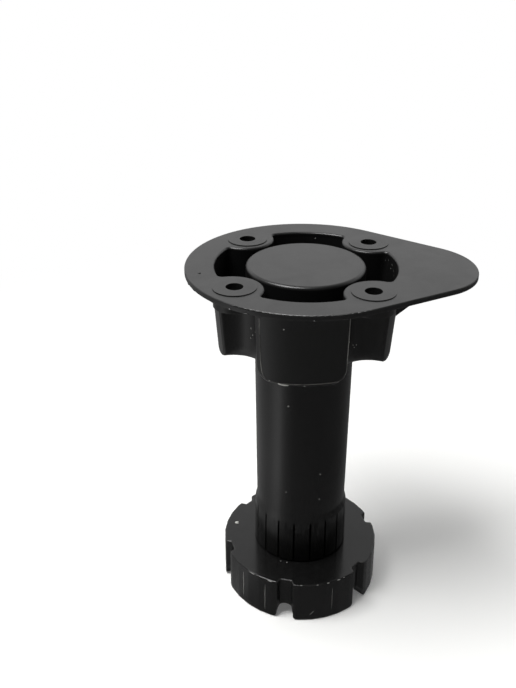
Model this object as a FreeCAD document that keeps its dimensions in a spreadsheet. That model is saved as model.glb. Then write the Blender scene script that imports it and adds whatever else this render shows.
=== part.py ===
"""Adjustable cabinet leg: a teardrop mounting socket, a leg tube and a thumb-wheel foot.

The Z axis is the leg's own axis, the foot stands on z = 0 and the plate's tail points along +X.
"""
import FreeCAD, Part
import math
import os
import re

import Sketcher

VECTOR = FreeCAD.Vector
# a sketch names its own axes with -1, and the points of a curve with 1, 2 and 3
ORIGIN = X_AXIS = -1
START, END, CENTRE = range(1, 4)

SIZES = {
    # overall
    "total_height": 95.0,
    # plate: a large circle and a small one, joined by their outer tangents
    "plate_radius": 30.0,
    "tail_radius": 16.0,
    "tail_reach": 26.0,
    "plate_thickness": 1.25,
    "plate_round": 0.3,
    # screw holes, on a square, each in a raised land above a boss
    "screw_spacing": 32.0,
    "screw_radius": 2.1,
    "land_radius": 5.2,
    "land_rise": 0.2,
    "boss_radius": 5.1,
    "boss_depth": 3.2,
    # skirt with four lobes, and the recesses that leave room for the screws
    "opening_radius": 22.6,
    "lip_round": 0.6,
    "pocket_round": 1.2,
    "skirt_depth": 21.2,
    "skirt_wall": 1.0,
    "skirt_lean": 1.6,
    "skirt_floor": 4.6,
    "recess_radius": 6.5,
    "recess_offset": 1.0,
    "recess_wall": 1.2,
    "recess_round": 4.0,
    "corner_round": 0.9,
    # cup that holds the tube, closed by the disc in the middle of the plate
    "cup_radius": 14.95,
    "cup_round": 0.9,
    "cup_ceiling": 1.7,
    # gusset under the tail
    "gusset_thickness": 3.0,
    "gusset_reach": 14.5,
    "gusset_drop": 11.6,
    "gusset_sag": 0.9,
    # leg tube
    "spigot_radius": 12.3,
    "spigot_clearance": 0.05,
    "spigot_gap": 0.3,
    "shoulder_radius": 12.68,
    "tube_end_radius": 12.1,
    "bore_radius": 10.0,
    "tube_edge": 0.5,
    "band_step": 2.0,
    "band_length": 12.7,
    "band_rise": 0.5,
    "band_lean": 0.1,
    "slit_count": 18,
    "slit_width": 0.5,
    "slit_phase": 4.25,
    # foot
    "foot_radius": 21.4,
    "foot_height": 12.0,
    "foot_facets": 36,
    "foot_edge": 0.35,
    "rim_wall": 3.1,
    "deck_thickness": 2.2,
    "hub_radius": 10.5,
    "hub_floor": 3.0,
    "rib_thickness": 1.5,
    "rib_lift": 0.6,
    "notch_count": 6,
    "notch_phase": 21.5,
    "notch_mouth": 4.6,
    "notch_bed": 3.0,
    "notch_depth": 1.6,
    "notch_round": 0.4,
    "arch_height": 4.0,
    "arch_flare": 0.8,
    "stem_clearance": 0.15,
    "thread_depth": 0.65,
    "stem_length": 40.0,
    "stem_wall": 2.0,
    "stem_edge": 0.8,
}

# places that follow from the sizes, as expressions
PLATE_TOP = "(total_height - land_rise)"
PLATE_UNDER = f"({PLATE_TOP} - plate_thickness)"
SKIRT_BOTTOM = f"({PLATE_UNDER} - skirt_depth)"
SCREW = "(screw_spacing / 2)"
RECESS = "(screw_spacing / 2 + recess_offset * sqrt(0.5))"
SKIRT_TOP_RADIUS = "(opening_radius + skirt_wall)"
SKIRT_BOTTOM_RADIUS = "(opening_radius + skirt_wall - skirt_lean)"
POCKET_FLOOR = f"({SKIRT_BOTTOM} + skirt_floor)"
CEILING = f"({PLATE_TOP} - cup_ceiling)"
BAND_TOP = "(foot_height + band_length)"
STEM_RADIUS = "(bore_radius - stem_clearance - thread_depth)"
STEM_INSIDE = f"({STEM_RADIUS} - stem_wall)"
STEM_TOP = "(foot_height + stem_length)"
RIM_INSIDE = "(foot_radius - rim_wall)"
DECK_UNDER = "(foot_height - deck_thickness)"

# how far a cutting tool runs past the face that it opens
OVERRUN = 2.0
# how near a point lies to a place to count as on it, and how far off it is surely elsewhere
TOUCH, MARGIN = 0.01, 0.1
# the four quarters round the axis, as signs of X and Y
QUARTERS = [(1, 1), (-1, 1), (-1, -1), (1, -1)]

doc = FreeCAD.newDocument("cabinet_leg")


def make_sheet():
    """The driving dimensions: one named cell each."""
    sheet = doc.addObject("Spreadsheet::Sheet", "Sizes")
    for row, (name, value) in enumerate(SIZES.items(), start=1):
        sheet.set(f"A{row}", name)
        sheet.set(f"B{row}", str(value))
        sheet.setAlias(f"B{row}", name)
    doc.recompute()
    return sheet


sheet = make_sheet()


def bound(text):
    """The expression with each size's name pointed at its cell."""
    return re.sub(r"[a-z_]{2,}", lambda m: f"Sizes.{m[0]}" if m[0] in SIZES else m[0], text)


def number(text):
    """The value that an expression has now."""
    return float(sheet.evalExpression(bound(text)))


def bind(thing, **places):
    """Ties properties of an object to expressions; a double underscore stands for a dot."""
    for name, text in places.items():
        thing.setExpression(name.replace("__", "."), bound(text))
    return thing


def shift(thing, x="0", y="0", z="0"):
    """Ties an object's place to expressions."""
    return bind(thing, Placement__Base__x=x, Placement__Base__y=y, Placement__Base__z=z)


def cylinder(label, radius, bottom, top, x="0", y="0"):
    """An upright cylinder between two heights."""
    made = bind(doc.addObject("Part::Cylinder", label), Radius=radius, Height=f"{top} - {bottom}")
    return shift(made, x, y, bottom)


def cone(label, low_radius, high_radius, bottom, top):
    """An upright cone on the axis between two heights."""
    made = doc.addObject("Part::Cone", label)
    bind(made, Radius1=low_radius, Radius2=high_radius, Height=f"{top} - {bottom}")
    return shift(made, z=bottom)


def cut(label, base, tool):
    """The base with the tool taken away."""
    made = doc.addObject("Part::Cut", label)
    made.Base, made.Tool = base, tool
    return made


def fuse(label, pieces):
    """All the pieces in one solid, with the seams between them removed."""
    made = doc.addObject("Part::MultiFuse", label)
    made.Shapes, made.Refine = pieces, True
    return made


def common(label, one, other):
    """What two shapes share."""
    made = doc.addObject("Part::MultiCommon", label)
    made.Shapes = [one, other]
    return made


def at_each_screw(label, make):
    """One object per screw, made from the signs of its quarter, in one compound."""
    made = doc.addObject("Part::Compound", label)
    made.Links = [make(f"{label}_{k}", sx, sy) for k, (sx, sy) in enumerate(QUARTERS)]
    return made


def start_body(label, base=None):
    """A body, on a base shape where it has one."""
    body = doc.addObject("PartDesign::Body", label)
    if base is not None:
        body.BaseFeature = base
    doc.recompute()
    return body


def plane_of(body, role):
    """One of the body's own origin planes."""
    return next(f for f in body.Origin.OriginFeatures if f.Role == role)


def sketch_on(body, label, role, height="0"):
    """An empty sketch on one of the body's origin planes, at a height above it."""
    sketch = body.newObject("Sketcher::SketchObject", label)
    sketch.AttachmentSupport = (plane_of(body, role), [""])
    sketch.MapMode = "FlatFace"
    sketch.setExpression("AttachmentOffset.Base.z", bound(height))
    return sketch


def constrain(sketch, kind, text, *geometry):
    """A dimension on a sketch, tied to an expression."""
    index = sketch.addConstraint(Sketcher.Constraint(kind, *geometry, number(text)))
    sketch.setExpression(f"Constraints[{index}]", bound(text))


def pin(sketch, line, end, place):
    """Holds one end of a line at a place given by two expressions."""
    across, along = place
    constrain(sketch, "DistanceX", across, ORIGIN, START, line, end)
    constrain(sketch, "DistanceY", along, ORIGIN, START, line, end)


def outline(sketch, places):
    """A closed outline of straight lines through places given as pairs of expressions."""
    corners = [VECTOR(number(x), number(y), 0) for x, y in places]
    for k, corner in enumerate(corners):
        sketch.addGeometry(Part.LineSegment(corner, corners[(k + 1) % len(corners)]))
    for k in range(len(corners)):
        sketch.addConstraint(Sketcher.Constraint("Coincident", k, END, (k + 1) % len(corners), START))
    for k, place in enumerate(places):
        pin(sketch, k, START, place)


def circle(sketch, radius):
    """A circle round the axis."""
    index = sketch.addGeometry(Part.Circle(VECTOR(0, 0, 0), VECTOR(0, 0, 1), number(radius)))
    sketch.addConstraint(Sketcher.Constraint("Coincident", index, CENTRE, ORIGIN, START))
    constrain(sketch, "Radius", radius, index)


def revolve(body, label, places):
    """A solid of revolution about the axis from a half profile of (radius, height) pairs."""
    sketch = sketch_on(body, f"{label}_profile", "XZ_Plane")
    outline(sketch, places)
    made = body.newObject("PartDesign::Revolution", label)
    made.Profile = sketch
    made.ReferenceAxis = (sketch, ["V_Axis"])
    made.Angle = 360.0
    doc.recompute()
    return made


def pad(body, label, sketch, length, both_ways=False):
    """A pad of a sketch."""
    made = body.newObject("PartDesign::Pad", label)
    made.Profile = sketch
    made.Midplane = both_ways
    bind(made, Length=length)
    doc.recompute()
    return made


def pocket(body, label, sketch, length, both_ways=False, back=False):
    """A pocket of a sketch, checked to take material away."""
    before = body.Shape.Volume
    made = body.newObject("PartDesign::Pocket", label)
    made.Profile = sketch
    made.Midplane = both_ways
    made.Reversed = back
    bind(made, Length=length)
    doc.recompute()
    if not body.Shape.Volume < before:
        raise RuntimeError(f"{label} takes nothing away")
    return made


def round_the_axis(body, label, features, count):
    """Copies of features at even angles round the leg's axis."""
    made = body.newObject("PartDesign::PolarPattern", label)
    made.Originals = features
    made.Axis = (plane_axis(body), [""])
    made.Angle = 360.0
    bind(made, Occurrences=count)
    body.Tip = made
    doc.recompute()
    return made


def plane_axis(body):
    """The body's own Z axis."""
    return next(f for f in body.Origin.OriginFeatures if f.Role == "Z_Axis")


def edges_where(shape, test):
    """Names of the edges whose middle point passes a test of (radius, angle, height, edge)."""
    names = []
    for k, edge in enumerate(shape.Edges, start=1):
        middle = edge.valueAt((edge.FirstParameter + edge.LastParameter) / 2)
        if test(middle, edge):
            names.append(f"Edge{k}")
    return names


def soften(body, label, kind, size, test):
    """A fillet or a chamfer on the edges that pass a test."""
    doc.recompute()
    tip = body.Tip
    names = edges_where(tip.Shape, test)
    if not names:
        raise RuntimeError(f"{label} finds no edge")
    made = body.newObject(f"PartDesign::{kind}", label)
    made.Base = (tip, names)
    bind(made, **{"Radius" if kind == "Fillet" else "Size": size})
    body.Tip = made
    doc.recompute()
    if "Invalid" in made.State:
        raise RuntimeError(f"{label} fails on {names}")
    return made


def near(value, text):
    """True where a number lies at an expression's value."""
    return abs(value - number(text)) < TOUCH


def from_axis(point):
    """Distance of a point from the leg's axis."""
    return (point.x ** 2 + point.y ** 2) ** 0.5


def from_recess(point):
    """Distance of a point from the nearest recess's own axis."""
    place = number(RECESS)
    return ((abs(point.x) - place) ** 2 + (abs(point.y) - place) ** 2) ** 0.5


def make_plate():
    """The teardrop plate: two arcs and the two lines that touch both."""
    body = start_body("plate")
    sketch = sketch_on(body, "teardrop", "XY_Plane", PLATE_UNDER)
    large, small, reach = number("plate_radius"), number("tail_radius"), number("tail_reach")
    cosine = (large - small) / reach
    sine = (1 - cosine ** 2) ** 0.5
    normal, mirrored = VECTOR(cosine, sine, 0), VECTOR(cosine, -sine, 0)
    tail = VECTOR(reach, 0, 0)
    points = [normal * large, mirrored * large, tail + mirrored * small, tail + normal * small]
    sketch.addGeometry(Part.Arc(points[0], VECTOR(-large, 0, 0), points[1]))
    sketch.addGeometry(Part.LineSegment(points[1], points[2]))
    sketch.addGeometry(Part.Arc(points[2], tail + VECTOR(small, 0, 0), points[3]))
    sketch.addGeometry(Part.LineSegment(points[3], points[0]))
    for k in range(len(points)):
        sketch.addConstraint(Sketcher.Constraint("Tangent", k, END, (k + 1) % len(points), START))
    sketch.addConstraint(Sketcher.Constraint("Coincident", 0, CENTRE, ORIGIN, START))
    sketch.addConstraint(Sketcher.Constraint("PointOnObject", 2, CENTRE, X_AXIS))
    constrain(sketch, "Radius", "plate_radius", 0)
    constrain(sketch, "Radius", "tail_radius", 2)
    constrain(sketch, "DistanceX", "tail_reach", ORIGIN, START, 2, CENTRE)
    pad(body, "plate_sheet", sketch, "plate_thickness")
    return body


def make_gusset():
    """The web under the tail: straight against skirt and plate, with a hollow free edge."""
    body = start_body("gusset")
    sketch = sketch_on(body, "gusset_side", "XZ_Plane")
    root = "opening_radius"
    inner = (root, PLATE_UNDER)
    low = (root, f"({PLATE_UNDER} - gusset_drop)")
    foot = (f"({SKIRT_TOP_RADIUS} - skirt_lean * gusset_drop / skirt_depth)", low[1])
    tip = (f"({SKIRT_TOP_RADIUS} + gusset_reach)", PLATE_UNDER)
    middle = (f"(({foot[0]} + {tip[0]}) / 2 - gusset_sag * sqrt(0.5))",
              f"(({foot[1]} + {tip[1]}) / 2 + gusset_sag * sqrt(0.5))")
    outline(sketch, [inner, low, foot, middle, tip])
    pad(body, "gusset_web", sketch, "gusset_thickness", both_ways=True)
    return body


def make_skirt():
    """The skirt: a block with four rounded recesses, trimmed to the skirt's cone."""
    block = cylinder("skirt_block", "2 * plate_radius", SKIRT_BOTTOM, PLATE_UNDER)
    recesses = at_each_screw("recesses", lambda name, sx, sy: cylinder(
        name, "recess_radius", f"({SKIRT_BOTTOM} - {OVERRUN})", f"({PLATE_UNDER} + {OVERRUN})",
        f"{sx} * {RECESS}", f"{sy} * {RECESS}"))
    body = start_body("skirt_form", cut("block_with_recesses", block, recesses))
    soften(body, "recess_rounds", "Fillet", "recess_round",
           lambda p, e: near(p.z, SKIRT_BOTTOM) and near(from_recess(p), "recess_radius"))
    outside = cone("skirt_outside", SKIRT_BOTTOM_RADIUS, SKIRT_TOP_RADIUS, SKIRT_BOTTOM, PLATE_UNDER)
    body = start_body("skirt", common("skirt_trimmed", body, outside))
    soften(body, "lobe_corners", "Fillet", "corner_round", is_lobe_corner)
    return body


def is_lobe_corner(point, edge):
    """True on the edges where a recess breaks through the skirt's outside."""
    lean = number("skirt_lean") / number("skirt_depth")
    here = number(SKIRT_TOP_RADIUS) - lean * (number(PLATE_UNDER) - point.z)
    return point.z < number(PLATE_UNDER) - TOUCH and abs(from_axis(point) - here) < TOUCH \
        and from_recess(point) < number("recess_radius + recess_round") + TOUCH \
        and not near(point.z, SKIRT_BOTTOM)


def is_pocket_corner(point, edge):
    """True on the upright edges where a pillar meets the wall of a pocket."""
    inside = number(POCKET_FLOOR) + MARGIN < point.z < number(PLATE_TOP) - MARGIN
    return inside and near(from_recess(point), "recess_radius + recess_wall") \
        and from_axis(point) > number("opening_radius - skirt_lean")


def make_socket():
    """The mounting socket: plate, lobed skirt, cup, bosses, lands and gusset in one moulding."""
    bosses = at_each_screw("bosses", lambda name, sx, sy: cylinder(
        name, "boss_radius", f"({PLATE_UNDER} - boss_depth)", PLATE_UNDER,
        f"{sx} * {SCREW}", f"{sy} * {SCREW}"))
    lands = at_each_screw("lands", lambda name, sx, sy: cylinder(
        name, "land_radius", PLATE_UNDER, "total_height", f"{sx} * {SCREW}", f"{sy} * {SCREW}"))
    holes = at_each_screw("screw_holes", lambda name, sx, sy: cylinder(
        name, "screw_radius", f"({PLATE_UNDER} - boss_depth - {OVERRUN})",
        f"(total_height + {OVERRUN})", f"{sx} * {SCREW}", f"{sy} * {SCREW}"))
    solid = fuse("socket_solid", [make_plate(), make_skirt(), bosses, make_gusset()])

    pillars = at_each_screw("pillars", lambda name, sx, sy: cylinder(
        name, "recess_radius + recess_wall", POCKET_FLOOR, "total_height",
        f"{sx} * {RECESS}", f"{sy} * {RECESS}"))
    cup = cylinder("cup", "cup_radius", f"({POCKET_FLOOR} - {OVERRUN})", "total_height")
    lean = f"skirt_lean * ({PLATE_UNDER} - {POCKET_FLOOR}) / skirt_depth"
    well_low = cone("well_low", f"opening_radius - {lean}", "opening_radius", POCKET_FLOOR, PLATE_UNDER)
    well_high = cylinder("well_high", "opening_radius", PLATE_UNDER, f"({PLATE_TOP} + {OVERRUN})")
    pocket_tool = cut("pocket_tool", fuse("well", [well_low, well_high]), fuse("kept", [pillars, cup]))
    body = start_body("socket_form", cut("socket_hollow", solid, pocket_tool))
    soften(body, "pocket_corners", "Fillet", "pocket_round", is_pocket_corner)
    soften(body, "lip", "Fillet", "lip_round", lambda p, e: near(p.z, PLATE_TOP)
           and number("cup_radius") + MARGIN < from_axis(p) < number("opening_radius") + MARGIN)
    soften(body, "disc_edge", "Fillet", "cup_round",
           lambda p, e: near(p.z, PLATE_TOP) and near(from_axis(p), "cup_radius"))
    soften(body, "plate_edge", "Fillet", "plate_round",
           lambda p, e: near(p.z, PLATE_TOP) and from_axis(p) > number("plate_radius") - MARGIN)

    bore = cylinder("tube_seat", "spigot_radius + spigot_clearance",
                    f"({SKIRT_BOTTOM} - {OVERRUN})", CEILING)
    drilled = cut("socket_bored", fuse("socket_with_lands", [body, lands]),
                  fuse("socket_bores", [holes, bore]))
    return start_body("mounting_socket", drilled)


def make_tube():
    """The leg tube: a drafted tube with a spigot for the socket and a slotted band at the foot."""
    body = start_body("leg_tube")
    band_top = "tube_end_radius + band_rise"
    band_low = f"({band_top} + band_lean)"
    spigot_top = f"({CEILING} - spigot_gap)"
    revolve(body, "tube_turned", [
        ("bore_radius", "foot_height"),
        (f"{band_low} - tube_edge", "foot_height"),
        (band_low, "foot_height + tube_edge"),
        (band_top, BAND_TOP),
        ("tube_end_radius", f"{BAND_TOP} + band_step"),
        ("shoulder_radius", SKIRT_BOTTOM),
        ("spigot_radius", SKIRT_BOTTOM),
        ("spigot_radius", f"{spigot_top} - tube_edge"),
        ("spigot_radius - tube_edge", spigot_top),
        ("bore_radius", spigot_top),
    ])
    sketch = sketch_on(body, "slit_side", "YZ_Plane", f"(bore_radius - {OVERRUN})")
    outline(sketch, [("-slit_width / 2", f"foot_height - {OVERRUN}"),
                     ("slit_width / 2", f"foot_height - {OVERRUN}"),
                     ("slit_width / 2", BAND_TOP), ("-slit_width / 2", BAND_TOP)])
    slit = pocket(body, "slit", sketch, f"shoulder_radius - bore_radius + 2 * {OVERRUN}", back=True)
    round_the_axis(body, "slits", [slit], "slit_count")
    bind(body, Placement__Rotation__Angle="slit_phase")
    return body


def make_foot():
    """The foot: a faceted thumb wheel, hollow beneath, with the stem that runs in the tube."""
    body = start_body("levelling_foot")
    wheel = body.newObject("PartDesign::AdditivePrism", "wheel")
    bind(wheel, Polygon="foot_facets", Circumradius="foot_radius", Height="foot_height",
         AttachmentOffset__Rotation__Angle="180 / foot_facets")
    doc.recompute()

    notch = sketch_on(body, "notch_plan", "XY_Plane")
    bed = "(foot_radius - notch_depth)"
    flare = f"(notch_mouth / 2 + (notch_mouth - notch_bed) / 2 / notch_depth * {OVERRUN})"
    outside = f"(foot_radius + {OVERRUN})"
    outline(notch, [(bed, "-notch_bed / 2"), (outside, f"-{flare}"), (outside, flare),
                    (bed, "notch_bed / 2")])
    cutout = pocket(body, "notch", notch, "foot_height", back=True)
    round_the_axis(body, "notches", [cutout], "notch_count")
    soften(body, "notch_corners", "Fillet", "notch_round", is_notch_corner)
    soften(body, "wheel_edges", "Fillet", "foot_edge",
           lambda p, e: near(p.z, "0") or near(p.z, "foot_height"))

    ring = sketch_on(body, "ring_plan", "XY_Plane")
    circle(ring, RIM_INSIDE)
    circle(ring, "hub_radius")
    pocket(body, "ring_hollow", ring, DECK_UNDER, back=True)

    rib = sketch_on(body, "rib_side", "XZ_Plane")
    rib.AttachmentOffset = FreeCAD.Placement(VECTOR(), FreeCAD.Rotation(VECTOR(0, 1, 0), 1))
    bind(rib, AttachmentOffset__Rotation__Angle="180 / notch_count")
    outline(rib, [(f"hub_radius - {OVERRUN}", "rib_lift"), (f"{RIM_INSIDE} + rim_wall / 2", "rib_lift"),
                  (f"{RIM_INSIDE} + rim_wall / 2", f"{DECK_UNDER} + deck_thickness / 2"),
                  (f"hub_radius - {OVERRUN}", f"{DECK_UNDER} + deck_thickness / 2")])
    rib_web = pad(body, "rib", rib, "rib_thickness", both_ways=True)
    round_the_axis(body, "ribs", [rib_web], "notch_count")
    arch = pocket(body, "arch", arch_side(body), f"rim_wall + 2 * {OVERRUN}", back=True)
    round_the_axis(body, "arches", [arch], "notch_count")

    revolve(body, "stem", [
        (STEM_INSIDE, DECK_UNDER),
        (STEM_RADIUS, DECK_UNDER),
        (STEM_RADIUS, f"{STEM_TOP} - stem_edge"),
        (f"{STEM_RADIUS} - stem_edge", STEM_TOP),
        (STEM_INSIDE, STEM_TOP),
    ])
    hollow = sketch_on(body, "stem_hollow_plan", "XY_Plane", "hub_floor")
    circle(hollow, STEM_INSIDE)
    pocket(body, "stem_hollow", hollow, f"{STEM_TOP} - hub_floor", back=True)
    bind(body, Placement__Rotation__Angle="notch_phase")
    return body


def arch_side(body):
    """A round-headed opening in the rim below the notch on +X, a little wider at the floor."""
    sketch = sketch_on(body, "arch_side", "YZ_Plane", f"({RIM_INSIDE} - {OVERRUN})")
    half, rise = number("notch_mouth / 2"), number("arch_height - notch_mouth / 2")
    flare, wide = number("arch_flare"), number(f"notch_mouth / 2 + arch_flare + {OVERRUN}")
    points = [VECTOR(wide, -OVERRUN, 0), VECTOR(half, flare, 0), VECTOR(half, rise, 0),
              VECTOR(-half, rise, 0), VECTOR(-half, flare, 0), VECTOR(-wide, -OVERRUN, 0)]
    sketch.addGeometry(Part.LineSegment(points[0], points[1]))
    sketch.addGeometry(Part.LineSegment(points[1], points[2]))
    sketch.addGeometry(Part.Arc(points[2], VECTOR(0, rise + half, 0), points[3]))
    sketch.addGeometry(Part.LineSegment(points[3], points[4]))
    sketch.addGeometry(Part.LineSegment(points[4], points[5]))
    sketch.addGeometry(Part.LineSegment(points[5], points[0]))
    for one, other in [(0, 1), (3, 4), (4, 5), (5, 0)]:
        sketch.addConstraint(Sketcher.Constraint("Coincident", one, END, other, START))
    for one, one_end, other, other_end in [(1, END, 2, START), (2, END, 3, START)]:
        sketch.addConstraint(Sketcher.Constraint("Tangent", one, one_end, other, other_end))
    sketch.addConstraint(Sketcher.Constraint("Vertical", 1))
    sketch.addConstraint(Sketcher.Constraint("Vertical", 3))
    sketch.addConstraint(Sketcher.Constraint("Horizontal", 5))
    constrain(sketch, "DistanceX", f"notch_mouth / 2 + arch_flare + {OVERRUN}", ORIGIN, START, 0, START)
    constrain(sketch, "DistanceX", f"-(notch_mouth / 2 + arch_flare + {OVERRUN})", ORIGIN, START, 4, END)
    constrain(sketch, "DistanceY", f"-{OVERRUN}", ORIGIN, START, 0, START)
    constrain(sketch, "DistanceX", "notch_mouth / 2", ORIGIN, START, 1, START)
    for line in (1, 4):
        constrain(sketch, "DistanceY", "arch_flare", ORIGIN, START, line, START)
    constrain(sketch, "DistanceX", "0", ORIGIN, START, 2, CENTRE)
    constrain(sketch, "DistanceY", "arch_height - notch_mouth / 2", ORIGIN, START, 2, CENTRE)
    return sketch


def is_notch_corner(point, edge):
    """True on the upright edges at the bed and the mouth of a notch."""
    step = 360 / number("notch_count")
    turn = math.degrees(math.atan2(point.y, point.x))
    off = abs((turn + step / 2) % step - step / 2)
    mouth = math.degrees(math.asin(number("notch_mouth / 2 / foot_radius")))
    return near(edge.Length, "foot_height") and off < mouth + 180 / number("foot_facets") / 4


def export(bodies):
    """Checks each finished body and writes it to its STEP file."""
    doc.recompute()
    for thing in doc.Objects:
        if "Invalid" in thing.State or "Error" in thing.State:
            raise RuntimeError(f"{thing.Label} is {thing.State}")
    os.makedirs("parts", exist_ok=True)
    for body in bodies:
        shape = body.Shape
        if shape.isNull() or not shape.isValid() or len(shape.Solids) != 1:
            raise RuntimeError(f"{body.Label} is not one valid solid")
        shape.exportStep(f"parts/{body.Label}.step")
        print(body.Label, round(shape.Volume, 1), shape.BoundBox)


export([make_socket(), make_tube(), make_foot()])
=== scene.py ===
"""Adjustable cabinet leg: moulded-plastic finishes, thread, moulding marks and studio.

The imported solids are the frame. This script gives them their finishes, adds the coarse
thread on the foot's stem and the small marks of the moulding, and sets up light and camera.
"""
from __future__ import annotations

import logging
import math
from dataclasses import dataclass
from enum import Enum

import bmesh
import bpy
from mathutils import Matrix, Vector, noise


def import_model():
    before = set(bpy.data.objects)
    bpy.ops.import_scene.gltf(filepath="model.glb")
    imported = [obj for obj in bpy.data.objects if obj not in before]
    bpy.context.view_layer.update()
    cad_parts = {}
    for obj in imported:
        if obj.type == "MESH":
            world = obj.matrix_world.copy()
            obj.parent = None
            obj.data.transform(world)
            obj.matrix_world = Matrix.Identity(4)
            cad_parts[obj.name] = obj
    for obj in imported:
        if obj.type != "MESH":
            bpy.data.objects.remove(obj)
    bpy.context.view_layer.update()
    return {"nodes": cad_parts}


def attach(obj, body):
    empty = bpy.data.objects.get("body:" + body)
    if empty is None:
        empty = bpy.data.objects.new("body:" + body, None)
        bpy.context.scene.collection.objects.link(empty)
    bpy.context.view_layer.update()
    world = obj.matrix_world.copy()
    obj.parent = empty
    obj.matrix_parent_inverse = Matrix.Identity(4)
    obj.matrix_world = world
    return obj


LOG = logging.getLogger("cabinet_leg")
MM = 0.001
# a bend sharper than this stays a crisp edge
CREASE = math.radians(35)


class Body(Enum):
    """The two rigid bodies of the leg."""

    LEG = "leg"
    FOOT = "foot"


class Node(Enum):
    """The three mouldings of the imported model."""

    SOCKET = "mounting_socket"
    TUBE = "leg_tube"
    FOOT = "levelling_foot"


class Slot(Enum):
    """The record's material slots."""

    SOCKET = "socket_plastic"
    TUBE = "tube_plastic"
    FOOT = "foot_plastic"


def linear(hex_colour: str) -> tuple[float, float, float, float]:
    """Turn an sRGB hex colour into linear light.

    Args:
        hex_colour: six hex digits, with or without a leading hash.

    Returns:
        Red, green, blue and an alpha of 1.
    """
    digits = hex_colour.lstrip("#")
    parts = [int(digits[k:k + 2], 16) / 255 for k in (0, 2, 4)]
    red, green, blue = (p / 12.92 if p <= 0.04045 else ((p + 0.055) / 1.055) ** 2.4 for p in parts)
    return red, green, blue, 1.0


def add_node(
    tree: bpy.types.NodeTree, kind: str, settings: dict | None = None, **inputs: object
) -> bpy.types.Node:
    """Add one shader node with its settings, values and links.

    Args:
        tree: the node tree that gets the node.
        kind: the node's type name without the word ShaderNode.
        settings: attributes to set on the node; "stops" fills a colour ramp with greys.
        inputs: a value or an output socket for each input; an underscore stands for a space,
            and in0, in1 and so on name an input by its place.

    Returns:
        The new node.
    """
    node = tree.nodes.new(f"ShaderNode{kind}")
    for name, value in (settings or {}).items():
        if name != "stops":
            setattr(node, name, value)
            continue
        points = node.color_ramp.elements
        while len(points) < len(value):
            points.new(0.5)
        for point, (position, grey) in zip(points, value):
            point.position, point.color = position, (grey, grey, grey, 1)
    for name, value in inputs.items():
        place = name[2:]
        socket = node.inputs[int(place)] if name.startswith("in") and place.isdigit() \
            else node.inputs[name.replace("_", " ")]
        if isinstance(value, bpy.types.NodeSocket):
            tree.links.new(value, socket)
        else:
            socket.default_value = value
    return node


def new_material(name: str) -> tuple[bpy.types.Material, bpy.types.NodeTree]:
    """Start a material with an empty node tree.

    Args:
        name: the material's name.

    Returns:
        The material and its tree.
    """
    material = bpy.data.materials.new(name)
    material.use_nodes = True
    material.node_tree.nodes.clear()
    return material, material.node_tree


@dataclass(frozen=True)
class PaintedBandShade:
    """Painted shade on the slotted band: a black coat whose top edge runs in short streaks.

    It darkens the band and dulls its sheen in place of the dark reflection of the foot's deck,
    and the bare plastic above it looks paler.
    """

    colour: str = "#0c0c0c"
    gloss: float = 0.24
    # height of the top edge above the floor, how far the streaks swing it, and how soft it is
    top_mm: float = 23.0
    swing_mm: float = 5.5
    edge_mm: float = 0.12
    # width of a streak, and its length in widths
    streak_mm: float = 1.6
    streak_length: float = 14.0
    # distance from the middle where the top edge begins to rise, where it is up, and by how much
    side_from_mm: float = 10.4
    side_to_mm: float = 12.4
    side_rise_mm: float = 2.6
    # the share of the painted shade that stays at the tube's lit left side
    thin_left: float = 0.1

    def cover(
        self, tree: bpy.types.NodeTree, place: bpy.types.NodeSocket
    ) -> bpy.types.NodeSocket:
        """Work out how thickly the painted shade lies.

        Args:
            tree: the plastic's node tree.
            place: the Object coordinates.

        Returns:
            1 under the full painted shade and 0 on bare plastic.
        """
        parts = add_node(tree, "SeparateXYZ", Vector=place)
        drawn = add_node(tree, "Mapping", Vector=place, Scale=(1, 1, 1 / self.streak_length))
        streaks = add_node(tree, "TexVoronoi", Vector=drawn.outputs["Vector"],
                           Scale=1 / (self.streak_mm * MM)).outputs["Color"]
        edge = add_node(tree, "MapRange", {"clamp": False}, Value=streaks,
                        To_Min=(self.top_mm - self.swing_mm / 2) * MM,
                        To_Max=(self.top_mm + self.swing_mm / 2) * MM).outputs["Result"]
        aside = add_node(tree, "Math", {"operation": "ABSOLUTE"}, in0=parts.outputs["X"]).outputs[0]
        rise = add_node(tree, "MapRange", Value=aside, From_Min=self.side_from_mm * MM,
                        From_Max=self.side_to_mm * MM,
                        To_Max=self.side_rise_mm * MM).outputs["Result"]
        edge = add_node(tree, "Math", {"operation": "ADD"}, in0=edge, in1=rise).outputs[0]
        depth = add_node(tree, "Math", {"operation": "SUBTRACT"}, in0=edge,
                         in1=parts.outputs["Z"]).outputs[0]
        band_shade = add_node(tree, "MapRange", Value=depth, From_Max=self.edge_mm * MM).outputs["Result"]
        weight = add_node(tree, "MapRange", Value=parts.outputs["X"],
                          From_Min=-self.side_from_mm * MM, From_Max=0.0,
                          To_Min=self.thin_left).outputs["Result"]
        return add_node(tree, "Math", {"operation": "MULTIPLY"}, in0=band_shade, in1=weight).outputs[0]


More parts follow.
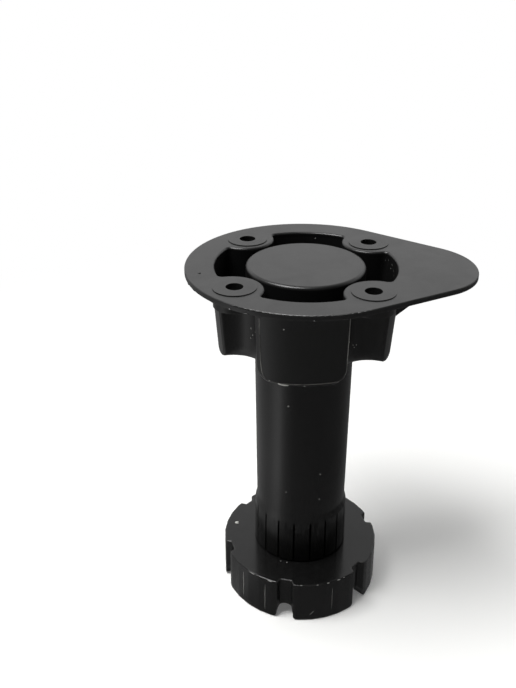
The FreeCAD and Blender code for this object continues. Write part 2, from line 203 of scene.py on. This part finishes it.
@dataclass(frozen=True)
class MouldedPlastic:
    """ABS or polypropylene, injection moulded in black: a low sheen over a fine skin.

    The skin scatters a broad soft reflection, flow lines change it a little from place to
    place, dust lifts the black where it faces up, and the corners are paler, partly from wear
    and partly as painted highlights on the edges.
    """

    name: str
    colour: str = "#121212"
    ior: float = 1.5
    gloss: float = 0.5
    roughness: float = 0.42
    roughness_swing: float = 0.10
    # flow lines that the melt leaves, broad and faint: their size, and the noise where the
    # skin is smoothest and roughest
    flow_mm: float = 9.0
    flow_low: float = 0.3
    flow_high: float = 0.7
    # the mould's grain is a few hundredths of a millimetre wide, so it is drawn coarser to show
    grain_mm: float = 0.35
    grain_height_mm: float = 0.012
    # dust: its strength, the size of its patches, how far up a face has to look, and the
    # noise where a patch begins and is full
    dust_colour: str = "#3a3a3a"
    dust: float = 0.12
    dust_patch_mm: float = 1.4
    dust_slope: float = 0.2
    dust_bare: float = 0.45
    dust_full: float = 0.75
    # paler edges, partly wear and partly painted highlight: their strength, their reach from an
    # edge, and the share of inward rays that miss the skin where they begin and where they are full
    edge_wear_and_highlight_colour: str = "#8c8c88"
    edge_wear_and_highlight: float = 0.25
    edge_reach_mm: float = 0.45
    edge_begins: float = 0.93
    edge_full: float = 0.60
    # the paler edges come in patches: the least share, and the flow's noise where it grows to the
    # whole
    edge_least: float = 0.25
    edge_patch_low: float = 0.40
    edge_patch_high: float = 0.62
    # painted shade laid over part of the moulding, where there is any
    band_shade: PaintedBandShade | None = None

    def build(self) -> bpy.types.Material:
        """Make the material.

        Returns:
            The material, on Object coordinates throughout.
        """
        material, tree = new_material(self.name)
        place = add_node(tree, "TexCoord").outputs["Object"]
        flow = add_node(tree, "TexNoise", Vector=place, Scale=1 / (self.flow_mm * MM),
                        Detail=3.0, Roughness=0.55, Distortion=0.6).outputs["Fac"]
        colour = self.edges_worn_and_highlit(tree, flow, self.dusted(tree, place))
        gloss = self.gloss
        # painted shade over the slotted band: a darker colour and a lower specular level
        if self.band_shade:
            band_shade = self.band_shade.cover(tree, place)
            colour = add_node(tree, "Mix", {"data_type": "RGBA"}, in0=band_shade, in6=colour,
                              in7=linear(self.band_shade.colour)).outputs[2]
            gloss = add_node(tree, "MapRange", Value=band_shade, To_Min=gloss,
                             To_Max=self.band_shade.gloss).outputs["Result"]
        rough = add_node(tree, "MapRange", Value=flow, From_Min=self.flow_low,
                         From_Max=self.flow_high,
                         To_Min=self.roughness - self.roughness_swing / 2,
                         To_Max=self.roughness + self.roughness_swing / 2).outputs["Result"]
        grain = add_node(tree, "TexNoise", Vector=place, Scale=1 / (self.grain_mm * MM),
                         Detail=2.0, Roughness=0.6).outputs["Fac"]
        bump = add_node(tree, "Bump", Height=grain, Strength=1.0,
                        Distance=self.grain_height_mm * MM).outputs["Normal"]
        shader = add_node(tree, "BsdfPrincipled", Base_Color=colour, Roughness=rough,
                          IOR=self.ior, Specular_IOR_Level=gloss, Normal=bump)
        add_node(tree, "OutputMaterial", Surface=shader.outputs["BSDF"])
        return material

    def dusted(
        self, tree: bpy.types.NodeTree, place: bpy.types.NodeSocket
    ) -> bpy.types.NodeSocket:
        """Lay patches of dust on what faces up.

        Args:
            tree: the material's node tree.
            place: the Object coordinates.

        Returns:
            The plastic's colour with its dust.
        """
        specks = add_node(tree, "TexNoise", Vector=place, Scale=1 / (self.dust_patch_mm * MM),
                          Detail=4.0, Roughness=0.7).outputs["Fac"]
        facing = add_node(tree, "NewGeometry").outputs["Normal"]
        upward = add_node(tree, "SeparateXYZ", Vector=facing).outputs["Z"]
        lie = add_node(tree, "MapRange", Value=upward, From_Min=self.dust_slope,
                       From_Max=1.0).outputs["Result"]
        patch = add_node(tree, "MapRange", Value=specks, From_Min=self.dust_bare,
                         From_Max=self.dust_full).outputs["Result"]
        amount = add_node(tree, "Math", {"operation": "MULTIPLY"}, in0=lie, in1=patch).outputs[0]
        amount = add_node(tree, "Math", {"operation": "MULTIPLY"}, in0=amount,
                          in1=self.dust).outputs[0]
        return add_node(tree, "Mix", {"data_type": "RGBA"}, in0=amount, in6=linear(self.colour),
                        in7=linear(self.dust_colour)).outputs[2]

    def edges_worn_and_highlit(
        self, tree: bpy.types.NodeTree, flow: bpy.types.NodeSocket, colour: bpy.types.NodeSocket
    ) -> bpy.types.NodeSocket:
        """Make the corners paler, partly as wear and partly as painted highlights on the edges.

        Args:
            tree: the material's node tree.
            flow: the noise of the flow lines.
            colour: the colour so far.

        Returns:
            The colour with its paler corners.
        """
        # edges found from inside the skin and painted paler: partly wear, partly painted highlight
        inward = add_node(tree, "AmbientOcclusion", {"inside": True, "only_local": True, "samples": 8},
                          Distance=self.edge_reach_mm * MM).outputs["AO"]
        corner = add_node(tree, "MapRange", Value=inward, From_Min=self.edge_begins,
                          From_Max=self.edge_full).outputs["Result"]
        patchy = add_node(tree, "MapRange", Value=flow, From_Min=self.edge_patch_low,
                        From_Max=self.edge_patch_high, To_Min=self.edge_least).outputs["Result"]
        amount = add_node(tree, "Math", {"operation": "MULTIPLY"}, in0=corner, in1=patchy).outputs[0]
        amount = add_node(tree, "Math", {"operation": "MULTIPLY"}, in0=amount,
                          in1=self.edge_wear_and_highlight).outputs[0]
        return add_node(tree, "Mix", {"data_type": "RGBA"}, in0=amount, in6=colour,
                        in7=linear(self.edge_wear_and_highlight_colour)).outputs[2]


@dataclass(frozen=True)
class TornPlastic:
    """Black plastic where it is torn or scuffed: the stretched skin turns a pale grey; on some
    crumbs the same grey paints glints and highlights.
    """

    name: str = "abs_torn_and_whitened"
    dark: str = "#4a4a48"
    pale: str = "#b4b4b0"
    patch_mm: float = 0.2
    roughness: float = 0.55

    def build(self) -> bpy.types.Material:
        """Make the material.

        Returns:
            A matt grey that wanders between two tones.
        """
        material, tree = new_material(self.name)
        place = add_node(tree, "TexCoord").outputs["Object"]
        patch = add_node(tree, "TexNoise", Vector=place, Scale=1 / (self.patch_mm * MM), Detail=2.0)
        tone = add_node(tree, "Mix", {"data_type": "RGBA"}, in0=patch.outputs["Fac"],
                        in6=linear(self.dark), in7=linear(self.pale)).outputs[2]
        shader = add_node(tree, "BsdfPrincipled", Base_Color=tone, Roughness=self.roughness)
        add_node(tree, "OutputMaterial", Surface=shader.outputs["BSDF"])
        return material


@dataclass(frozen=True)
class PaleFloor:
    """Matt white card under the leg: it keeps the near shadow and runs out into plain white."""

    name: str = "matt_white_card"
    colour: str = "#f4f4f2"
    # what the camera sees of the near card beyond its light, so that the shadow stays pale
    lift: float = 0.12
    # distances from the axis where the card begins to turn plain white and where it has
    near_mm: float = 70.0
    far_mm: float = 260.0

    def build(self) -> bpy.types.Material:
        """Make the material.

        Returns:
            A diffuse white that turns into a plain glow away from the leg.
        """
        material, tree = new_material(self.name)
        camera = add_node(tree, "LightPath").outputs["Is Camera Ray"]
        place = add_node(tree, "TexCoord").outputs["Object"]
        reach = add_node(tree, "VectorMath", {"operation": "LENGTH"}, in0=place).outputs["Value"]
        far = add_node(tree, "MapRange", {"interpolation_type": "SMOOTHSTEP"}, Value=reach,
                       From_Min=self.near_mm * MM, From_Max=self.far_mm * MM).outputs["Result"]
        card = add_node(tree, "BsdfDiffuse", Color=linear(self.colour)).outputs["BSDF"]
        lifted = add_node(tree, "Math", {"operation": "MULTIPLY"}, in0=camera, in1=self.lift)
        near_glow = add_node(tree, "Emission", Color=(1, 1, 1, 1), Strength=lifted.outputs[0])
        near = add_node(tree, "AddShader", in0=card, in1=near_glow.outputs[0]).outputs[0]
        glow = add_node(tree, "Emission", Color=(1, 1, 1, 1), Strength=1.0).outputs[0]
        both = add_node(tree, "MixShader", in0=far, in1=near, in2=glow).outputs[0]
        add_node(tree, "OutputMaterial", Surface=both)
        return material


@dataclass(frozen=True)
class RoomGlow:
    """What reflections see of the room: plain light whose strength changes with direction."""

    name: str = "room_by_direction"
    # share of a turn from -X through -Y, +X and +Y, and how bright the room is there
    levels: tuple[tuple[float, float], ...] = (
        (0.0, 0.30), (0.04, 0.40), (0.08, 0.72), (0.108, 0.80), (0.128, 0.40), (0.155, 0.24),
        (0.20, 0.12), (0.32, 0.10), (0.50, 0.08), (0.60, 0.10), (0.72, 0.14), (0.90, 0.30))
    # the leg's own shade round its foot: the share of the room that is left there, and what the
    # floor gives back
    shade: float = 0.24
    bounce: float = 0.11
    near_mm: float = 26.0
    far_mm: float = 62.0

    def build(self) -> bpy.types.Material:
        """Make the material.

        Returns:
            A glow on Object coordinates.
        """
        material, tree = new_material(self.name)
        place = add_node(tree, "TexCoord").outputs["Object"]
        turn = add_node(tree, "TexGradient", {"gradient_type": "RADIAL"}, Vector=place)
        level = add_node(tree, "ValToRGB", {"stops": self.levels}, Fac=turn.outputs["Fac"])
        reach = add_node(tree, "VectorMath", {"operation": "LENGTH"}, in0=place).outputs["Value"]
        clear = add_node(tree, "MapRange", Value=reach, From_Min=self.near_mm * MM,
                         From_Max=self.far_mm * MM).outputs["Result"]
        shaded = add_node(tree, "Math", {"operation": "MULTIPLY_ADD"}, in0=level.outputs["Color"],
                          in1=self.shade, in2=self.bounce).outputs[0]
        strength = add_node(tree, "Mix", {"data_type": "FLOAT"}, in0=clear, in2=shaded,
                            in3=level.outputs["Color"]).outputs[0]
        glow = add_node(tree, "Emission", Color=(1, 1, 1, 1), Strength=strength)
        add_node(tree, "OutputMaterial", Surface=glow.outputs[0])
        return material


@dataclass
class Leg:
    """The three mouldings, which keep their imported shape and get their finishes."""

    nodes: dict[str, bpy.types.Object]

    def dress(self, finishes: dict[Node, bpy.types.Material]) -> None:
        """Give each moulding its finish.

        Args:
            finishes: the material of each moulding.
        """
        for node, material in finishes.items():
            piece = self.nodes[node.value]
            for slot in piece.material_slots:
                slot.material = material
            LOG.info("%s: %d faces, %s", node.value, len(piece.data.polygons), material.name)


@dataclass
class StemThread:
    """The coarse thread of the foot's stem, which the tube's slotted end grips."""

    # radii of the stem and of the crest, and how far the ridge is sunk in the stem
    root_mm: float = 9.2
    crest_mm: float = 9.83
    sink_mm: float = 0.15
    pitch_mm: float = 3.0
    root_wide_mm: float = 1.9
    crest_wide_mm: float = 0.9
    # heights of its two ends above the floor, and the turns over which each end fades
    first_mm: float = 14.2
    last_mm: float = 49.0
    run_out_turns: float = 0.35
    steps_a_turn: int = 48

    def build(self, finish: bpy.types.Material) -> bpy.types.Object:
        """Wind the ridge and close its ends.

        Args:
            finish: the foot's plastic.

        Returns:
            The thread, riding on the foot.
        """
        ridge = bmesh.new()
        root = self.root_mm - self.sink_mm
        half_root, half_crest = self.root_wide_mm / 2, self.crest_wide_mm / 2
        outline = [(root, -half_root), (self.root_mm, -half_root), (self.crest_mm, -half_crest),
                   (self.crest_mm, half_crest), (self.root_mm, half_root), (root, half_root)]
        points = [ridge.verts.new((r * MM, 0, (self.first_mm + z) * MM)) for r, z in outline]
        face = ridge.faces.new(points)
        turns = (self.last_mm - self.first_mm) / self.pitch_mm
        steps = round(turns * self.steps_a_turn)
        start = [face, *face.edges, *face.verts]
        bmesh.ops.spin(
            ridge, geom=start, cent=(0, 0, 0), axis=(0, 0, 1),
            dvec=(0, 0, self.pitch_mm * MM / self.steps_a_turn), angle=turns * math.tau,
            steps=steps, use_merge=False, use_normal_flip=False, use_duplicate=False)
        for vert in ridge.verts:
            height = (vert.co.z / MM - self.first_mm) / self.pitch_mm
            angle = math.atan2(vert.co.y, vert.co.x) / math.tau
            along = round(height - angle) + angle
            run = min(1.0, max(0.0, min(along, turns - along) / self.run_out_turns))
            reach = vert.co.xy.length / MM
            wanted = root + (reach - root) * run
            vert.co.x, vert.co.y = vert.co.x * wanted / reach, vert.co.y * wanted / reach
        bmesh.ops.recalc_face_normals(ridge, faces=ridge.faces)
        LOG.info("stem thread: %.1f turns, %d faces", turns, len(ridge.faces))
        return place_piece("stem_thread", ridge, Body.FOOT, finish)


@dataclass(frozen=True)
class Mark:
    """One crumb of flash, nick, scuff or painted glint: where it is and how it lies, in millimetres.
    """

    place: tuple[float, float, float]
    size: float = 0.16
    along: tuple[float, float, float] = (1.0, 0.0, 0.0)
    stretch: float = 1.0


# crumbs in the well, in the two front recesses, on the panel and along the skirt's lower edge
SOCKET_MARKS = (
    Mark((1.9, 21.9, 93.2)), Mark((20.2, 8.2, 93.0), 0.10), Mark((20.7, 6.4, 91.5), 0.12),
    Mark((20.0, 9.0, 92.6), 0.08), Mark((21.0, 6.0, 92.6), 0.09), Mark((21.6, 4.6, 91.6), 0.10),
    Mark((21.8, 3.6, 90.8), 0.08),
    Mark((-12.6, -11.7, 82.2), 0.20), Mark((-11.5, -12.9, 81.8), 0.17),
    Mark((-12.2, -12.1, 80.6), 0.19), Mark((-12.7, -11.7, 79.6), 0.19),
    Mark((-4.1, -22.6, 87.8), 0.20), Mark((11.0, -13.3, 80.4), 0.15),
    Mark((12.8, -11.4, 78.7), 0.15), Mark((11.9, -12.1, 79.0), 0.13),
    Mark((12.3, -11.8, 78.2), 0.15), Mark((-7.4, -20.5, 73.2), 0.20),
    Mark((0.8, -21.95, 72.7), 0.20),
)
# a pale lump of flash under the skirt, painted nearly white as a glint on the panel's lower edge
SKIRT_FLASH_GLINT = (Mark((-4.3, -21.7, 72.65), 0.20, (0.97, -0.19, -0.22), 6.0),)
# a dark speck on the plate at the left, and flash along the plate's lower edge
RIM_MARKS = (
    Mark((-25.3, -8.3, 94.8), 0.16, (1.0, 0.1, 0.0), 2.5),
    Mark((-27.4, -12.2, 93.6), 0.13, (0.40, -0.92, 0.0), 4.0),
    Mark((-25.6, -15.6, 93.6), 0.12, (0.52, -0.85, 0.0), 6.0),
    Mark((-20.1, -22.3, 93.6), 0.12, (0.74, -0.67, 0.0), 5.0),
    Mark((-16.3, -25.2, 93.6), 0.15, (0.84, -0.54, 0.0), 4.0),
    Mark((-12.2, -27.4, 93.6), 0.13, (0.90, -0.44, 0.0), 7.0),
    Mark((3.1, -29.8, 93.6), 0.14, (0.99, 0.10, 0.0), 4.0),
    Mark((9.3, -28.5, 93.6), 0.12, (0.95, 0.31, 0.0), 6.0),
    Mark((19.0, -23.2, 93.6), 0.12, (0.77, 0.63, 0.0), 6.0),
    Mark((24.5, -17.3, 93.6), 0.12, (0.58, 0.82, 0.0), 6.0),
    Mark((34.0, -12.2, 93.6), 0.12, (0.70, 0.70, 0.0), 6.0),
)
# specks on the front of the tube
TUBE_MARKS = (
    Mark((-3.3, -12.15, 61.0), 0.20), Mark((5.2, -11.0, 40.2), 0.14),
    Mark((5.2, -10.95, 32.2), 0.14), Mark((-3.6, -11.8, 34.4), 0.13),
)
# scuffs on the foot's deck and a scratch low on its front; pale crumbs along the rim, partly scuffs
# and partly painted glints; and pale streaks down its ridges, drawn as scratches, that paint their
# highlights
FOOT_MARKS = (
    Mark((-4.7, -12.6, 12.05), 0.15), Mark((-3.0, -12.9, 12.05), 0.17),
    Mark((4.2, -21.15, 2.5), 0.05, (0.65, 0.0, 0.75), 18.0),
    # pale crumbs along the rim: partly scuffs, partly painted glints
    Mark((-12.1, -17.5, 11.75), 0.10, (0.82, -0.57, 0.0), 8.0),
    Mark((-7.1, -20.05, 11.75), 0.11, (0.94, -0.33, 0.0), 6.0),
    Mark((1.2, -21.1, 11.85), 0.05, (1.0, 0.0, 0.0), 6.0),
    Mark((5.5, -20.5, 11.8), 0.07, (1.0, 0.25, 0.0), 4.0),
    Mark((8.3, -19.6, 11.85), 0.08, (0.92, 0.4, 0.0), 5.0),
    Mark((11.1, -18.2, 11.85), 0.10, (0.86, 0.5, 0.0), 5.0),
    Mark((12.5, -17.2, 11.9), 0.07, (0.8, 0.6, 0.0), 4.0),
    # pale streaks down the ridges: painted ridge highlights
    Mark((-14.7, -15.5, 6.2), 0.08, (0.0, 0.0, 1.0), 58.0),
    Mark((-8.5, -19.6, 5.8), 0.06, (0.0, 0.0, 1.0), 72.0),
    Mark((9.5, -19.1, 6.4), 0.035, (0.0, 0.0, 1.0), 100.0),
)
# a small lump on the rim at the left, painted nearly white as a highlight
FOOT_LUMP_HIGHLIGHT = (Mark((-18.3, 2.2, 12.1), 0.55),)


@dataclass
class MouldingMarks:
    """The crumbs and scuffs of one moulding, each a small torn lump half sunk in the skin; some of
    the pale ones paint glints and highlights.
    """

    name: str
    body: Body
    slot: Slot
    carrier: bpy.types.Object
    marks: tuple[Mark, ...]
    # how lumpy a crumb is, the lumps along its radius, and how far it stands proud
    jitter: float = 0.45
    lumps: float = 1.3
    stand: float = 0.6
    # steps of the noise to a metre, so that no two crumbs are alike
    scatter: float = 977.0
    roundness: int = 2

    def build(self, finish: bpy.types.Material) -> bpy.types.Object:
        """Set every mark into one mesh.

        Args:
            finish: the colour of the marks.

        Returns:
            The marks, riding on their moulding's body.
        """
        crumbs = bmesh.new()
        for mark in self.marks:
            radius = mark.size * MM
            made = bmesh.ops.create_icosphere(
                crumbs, subdivisions=self.roundness, radius=radius)["verts"]
            _, centre, outward, _ = self.carrier.closest_point_on_mesh(Vector(mark.place) * MM)
            for vert in made:
                wander = noise.noise(vert.co / radius * self.lumps + centre * self.scatter)
                vert.co *= 1 + self.jitter * wander
            across = outward.cross(Vector(mark.along)).normalized()
            lie = Matrix((across.cross(outward), across, outward)).transposed()
            bmesh.ops.scale(crumbs, vec=(mark.stretch, 1, self.stand), verts=made)
            bmesh.ops.rotate(crumbs, cent=(0, 0, 0), matrix=lie, verts=made)
            bmesh.ops.translate(crumbs, vec=centre, verts=made)
        bmesh.ops.recalc_face_normals(crumbs, faces=crumbs.faces)
        LOG.info("%s: %d marks", self.name, len(self.marks))
        return place_piece(self.name, crumbs, self.body, finish)


@dataclass
class PanelLine:
    """The fine parting line that frames the front panel of the socket's skirt: its pale crest is a
    painted highlight along the panel's edge.
    """

    carrier: bpy.types.Object
    # radius of the bead, half of which is sunk in the skin
    thick_mm: float = 0.13
    sides: int = 8
    # azimuth in degrees, height and rough distance from the axis in millimetres
    route: tuple[tuple[float, float, float], ...] = (
        (245.0, 89.6, 23.3), (244.8, 86.5, 23.0), (244.7, 82.2, 22.7), (244.7, 78.9, 22.5),
        (244.9, 76.7, 22.3), (245.4, 75.1, 22.2), (246.2, 74.1, 22.1), (247.6, 73.4, 22.1),
        (249.9, 73.1, 22.0), (253.2, 73.0, 22.0), (257.1, 73.0, 22.0), (261.4, 73.1, 22.0),
        (267.6, 73.2, 22.0), (274.2, 73.3, 22.1), (281.6, 73.4, 22.0), (287.8, 73.4, 22.0),
        (292.3, 73.4, 22.1), (295.3, 73.6, 22.1), (297.2, 74.1, 22.1), (298.3, 74.9, 22.2),
        (298.7, 76.1, 22.3), (298.7, 77.8, 22.4), (298.5, 80.3, 22.6), (298.3, 83.3, 22.8),
        (298.0, 87.1, 23.1), (297.6, 90.2, 23.3))

    def build(self, finish: bpy.types.Material) -> bpy.types.Object:
        """Lay a thin bead along the route.

        Args:
            finish: the line's plastic, painted pale along its crest as a highlight.

        Returns:
            The bead, riding on the leg.
        """
        points = [self.on_skin(*stop) for stop in self.route]
        bead = bmesh.new()
        rings = []
        for index, point in enumerate(points):
            before, after = points[max(index - 1, 0)], points[min(index + 1, len(points) - 1)]
            turn = (after - before).to_track_quat("Z", "X").to_matrix().to_4x4()
            ring = bmesh.ops.create_circle(
                bead, cap_ends=index in (0, len(points) - 1), segments=self.sides,
                radius=self.thick_mm * MM, matrix=Matrix.Translation(point) @ turn)["verts"]
            rings.append({edge for vert in ring for edge in vert.link_edges})
        for low, high in zip(rings, rings[1:]):
            bmesh.ops.bridge_loops(bead, edges=[*low, *high])
        bmesh.ops.recalc_face_normals(bead, faces=bead.faces)
        LOG.info("panel line: %d faces", len(bead.faces))
        return place_piece("skirt_panel_line", bead, Body.LEG, finish)

    def on_skin(self, azimuth: float, height: float, reach: float) -> Vector:
        """Find the skirt's skin at a place.

        Args:
            azimuth: degrees from +X.
            height: millimetres above the floor.
            reach: millimetres from the axis.

        Returns:
            The nearest point of the skin, in metres.
        """
        angle = math.radians(azimuth)
        place = Vector((reach * math.cos(angle), reach * math.sin(angle), height)) * MM
        return self.carrier.closest_point_on_mesh(place)[1]


def place_piece(
    name: str, shape: bmesh.types.BMesh, body: Body, finish: bpy.types.Material
) -> bpy.types.Object:
    """Turn a bmesh into a finished piece that rides on a body.

    Args:
        name: the piece's name.
        shape: its mesh, which is freed.
        body: the body that carries it.
        finish: its material.

    Returns:
        The piece.
    """
    mesh = bpy.data.meshes.new(name)
    shape.to_mesh(mesh)
    shape.free()
    mesh.polygons.foreach_set("use_smooth", [True] * len(mesh.polygons))
    mesh.set_sharp_from_angle(angle=CREASE)
    mesh.materials.append(finish)
    piece = bpy.data.objects.new(name, mesh)
    bpy.context.scene.collection.objects.link(piece)
    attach(piece, body.value)
    return piece


@dataclass
class Studio:
    """Floor, reflected room, softbox, world and camera."""

    floor_half_mm: float = 4000.0
    room_half_mm: float = 900.0
    room_lift_mm: float = 0.4
    # the key softbox, above and to the left
    key_place_mm: tuple[float, float, float] = (-300.0, -140.0, 860.0)
    key_aim_mm: tuple[float, float, float] = (0.0, 0.0, 40.0)
    key_side_mm: float = 460.0
    key_watts: float = 8.5
    # sine of the elevation, and how bright the room is there
    sky_levels: tuple[tuple[float, float], ...] = (
        (0.0, 0.36), (0.27, 0.40), (0.35, 0.66), (0.43, 1.0), (0.50, 0.90), (0.60, 0.47),
        (1.0, 0.36))
    # strength of the room in front of the leg and behind it, and how far along Y a
    # direction has to point for each
    sky_front: float = 0.06
    sky_back: float = 1.5
    front_from: float = -0.2
    back_from: float = 0.5
    # the camera, and the picture's height and optical centre in pixels
    camera_distance_mm: float = 191.656
    camera_height_mm: float = 172.374
    camera_turn_deg: float = 1.24
    camera_yaw_deg: float = -3.541
    camera_pitch_deg: float = -23.303
    camera_roll_deg: float = -0.082
    focal_px: float = 834.218
    centre_row_px: float = 281.536
    image_high_px: float = 688.0
    sensor_mm: float = 36.0

    def build(self) -> None:
        """Make everything round the object."""
        self.make_floor()
        self.make_room()
        self.make_key_light()
        self.make_world()
        self.make_camera()

    def make_floor(self) -> None:
        """Lay a plain card floor at z = 0."""
        self.lay_card("floor_card", self.floor_half_mm, 0.0, PaleFloor().build())

    def make_room(self) -> None:
        """Lay the card that only reflections see: how bright the room is in each direction."""
        room = self.lay_card("reflected_room", self.room_half_mm, self.room_lift_mm,
                             RoomGlow().build())
        room.visible_camera = room.visible_diffuse = room.visible_shadow = False

    def lay_card(
        self, name: str, half_mm: float, lift_mm: float, finish: bpy.types.Material
    ) -> bpy.types.Object:
        """Lay one square card.

        Args:
            name: the card's name.
            half_mm: half of its side.
            lift_mm: its height above the floor.
            finish: its material.

        Returns:
            The card.
        """
        mesh = bpy.data.meshes.new(name)
        sheet = bmesh.new()
        bmesh.ops.create_grid(sheet, x_segments=1, y_segments=1, size=half_mm * MM)
        bmesh.ops.translate(sheet, vec=(0, 0, lift_mm * MM), verts=sheet.verts)
        sheet.to_mesh(mesh)
        sheet.free()
        mesh.materials.append(finish)
        card = bpy.data.objects.new(name, mesh)
        bpy.context.scene.collection.objects.link(card)
        return card

    def make_key_light(self) -> None:
        """Hang the key softbox."""
        data = bpy.data.lights.new("softbox_key", "AREA")
        data.shape = "SQUARE"
        data.size = self.key_side_mm * MM
        data.energy = self.key_watts
        place, aim = Vector(self.key_place_mm), Vector(self.key_aim_mm)
        lamp = bpy.data.objects.new("softbox_key", data)
        lamp.location = place * MM
        lamp.rotation_mode = "QUATERNION"
        lamp.rotation_quaternion = (aim - place).to_track_quat("-Z", "Y")
        lamp.visible_camera = False
        bpy.context.scene.collection.objects.link(lamp)

    def make_world(self) -> None:
        """White to the camera, a soft grey room to everything else."""
        world = bpy.data.worlds.new("pale_room")
        bpy.context.scene.world = world
        world.use_nodes = True
        tree = world.node_tree
        tree.nodes.clear()
        path = add_node(tree, "LightPath")
        way = add_node(tree, "TexCoord").outputs["Generated"]
        parts = add_node(tree, "SeparateXYZ", Vector=way)
        behind = add_node(tree, "MapRange", Value=parts.outputs["Y"], From_Min=self.front_from,
                          From_Max=self.back_from, To_Min=self.sky_front,
                          To_Max=self.sky_back).outputs["Result"]
        height = add_node(tree, "ValToRGB", {"stops": self.sky_levels}, Fac=parts.outputs["Z"])
        room = add_node(tree, "Math", {"operation": "MULTIPLY"}, in0=behind,
                        in1=height.outputs["Color"]).outputs[0]
        strength = add_node(tree, "Mix", {"data_type": "FLOAT"},
                            in0=path.outputs["Is Camera Ray"], in2=room, in3=1.0).outputs[0]
        background = add_node(tree, "Background", Color=(1, 1, 1, 1), Strength=strength)
        add_node(tree, "OutputWorld", Surface=background.outputs[0])

    def make_camera(self) -> None:
        """Stand the camera where the photograph was taken from."""
        yaw, pitch, roll = (math.radians(a) for a in (
            self.camera_yaw_deg, self.camera_pitch_deg, self.camera_roll_deg))
        forward = Vector((math.sin(yaw) * math.cos(pitch), math.cos(yaw) * math.cos(pitch),
                          math.sin(pitch)))
        right = Vector((math.cos(yaw), -math.sin(yaw), 0))
        up = right.cross(forward)
        tilted = right * math.cos(roll) + up * math.sin(roll)
        lifted = up * math.cos(roll) - right * math.sin(roll)
        facing = Matrix((tilted, lifted, -forward)).transposed().to_4x4()
        stand = Vector((0, -self.camera_distance_mm, self.camera_height_mm)) * MM
        turn = Matrix.Rotation(math.radians(self.camera_turn_deg), 4, "Z")
        data = bpy.data.cameras.new("camera")
        data.sensor_fit = "AUTO"
        data.sensor_width = self.sensor_mm
        data.lens = self.focal_px / self.image_high_px * self.sensor_mm
        data.shift_y = (self.centre_row_px - self.image_high_px / 2) / self.image_high_px
        camera = bpy.data.objects.new("camera", data)
        camera.matrix_world = turn @ Matrix.Translation(stand) @ facing
        bpy.context.scene.collection.objects.link(camera)
        bpy.context.scene.camera = camera


# each moulding's plastic, and what it gives the eye
FINISHES = {
    # satin from an etched mould: a broad, even sheen on the plate and the skirt
    Node.SOCKET: MouldedPlastic("abs_black_satin_moulded", roughness=0.34,
                                roughness_swing=0.05, edge_wear_and_highlight=0.06),
    # smoother and almost free of dust: long soft streaks of light down the tube, and painted shade
    # over its slotted band
    Node.TUBE: MouldedPlastic("abs_black_smooth_moulded", roughness=0.23, dust=0.03,
                              roughness_swing=0.03, grain_height_mm=0.004, edge_wear_and_highlight=0.0,
                              band_shade=PaintedBandShade()),
    # the smoothest, turned by hand: the brightest glints, and edges a little paler, partly from wear
    # and partly as painted highlights
    Node.FOOT: MouldedPlastic("abs_black_foot_moulded", roughness=0.17, roughness_swing=0.04,
                              grain_height_mm=0.004, edge_wear_and_highlight=0.14),
}
# the same plastic on the raised parting line, painted pale along its crest as a highlight
PARTING_LINE_HIGHLIGHT = MouldedPlastic("abs_black_parting_line_highlight", roughness=0.3, edge_wear_and_highlight=0.7)
# matt grey torn crumbs, some of which also paint glints and highlights on the foot, and a
# near white for flash and a lump, painted as highlights
TORN_AND_GLINT = TornPlastic()
TORN_WHITE_HIGHLIGHT = TornPlastic("abs_torn_white_highlight", dark="#8a8a86", pale="#e0e0da")


def main() -> None:
    """Build the finishes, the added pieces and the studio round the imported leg."""
    logging.basicConfig(level=logging.INFO, format="%(name)s %(message)s")
    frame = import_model()
    finishes = {node: finish.build() for node, finish in FINISHES.items()}
    Leg(frame["nodes"]).dress(finishes)
    StemThread().build(finishes[Node.FOOT])
    socket, tube, foot = (frame["nodes"][node.value] for node in Node)
    PanelLine(socket).build(PARTING_LINE_HIGHLIGHT.build())
    # grey crumbs, some of them painted glints, and a near white that paints highlights
    torn, white = TORN_AND_GLINT.build(), TORN_WHITE_HIGHLIGHT.build()
    MouldingMarks("socket_flash", Body.LEG, Slot.SOCKET, socket, SOCKET_MARKS).build(torn)
    MouldingMarks("skirt_flash", Body.LEG, Slot.SOCKET, socket, SKIRT_FLASH_GLINT, stand=1.3).build(white)
    MouldingMarks("foot_lump_highlight", Body.FOOT, Slot.FOOT, foot, FOOT_LUMP_HIGHLIGHT, stand=0.8).build(white)
    MouldingMarks("rim_flash", Body.LEG, Slot.SOCKET, socket, RIM_MARKS, stand=1.0).build(
        finishes[Node.SOCKET])
    MouldingMarks("tube_specks", Body.LEG, Slot.TUBE, tube, TUBE_MARKS).build(torn)
    MouldingMarks("foot_scuffs_and_highlights", Body.FOOT, Slot.FOOT, foot, FOOT_MARKS).build(torn)
    Studio().build()
    bpy.context.scene.view_settings.view_transform = "Standard"


if __name__ == "__main__":
    main()
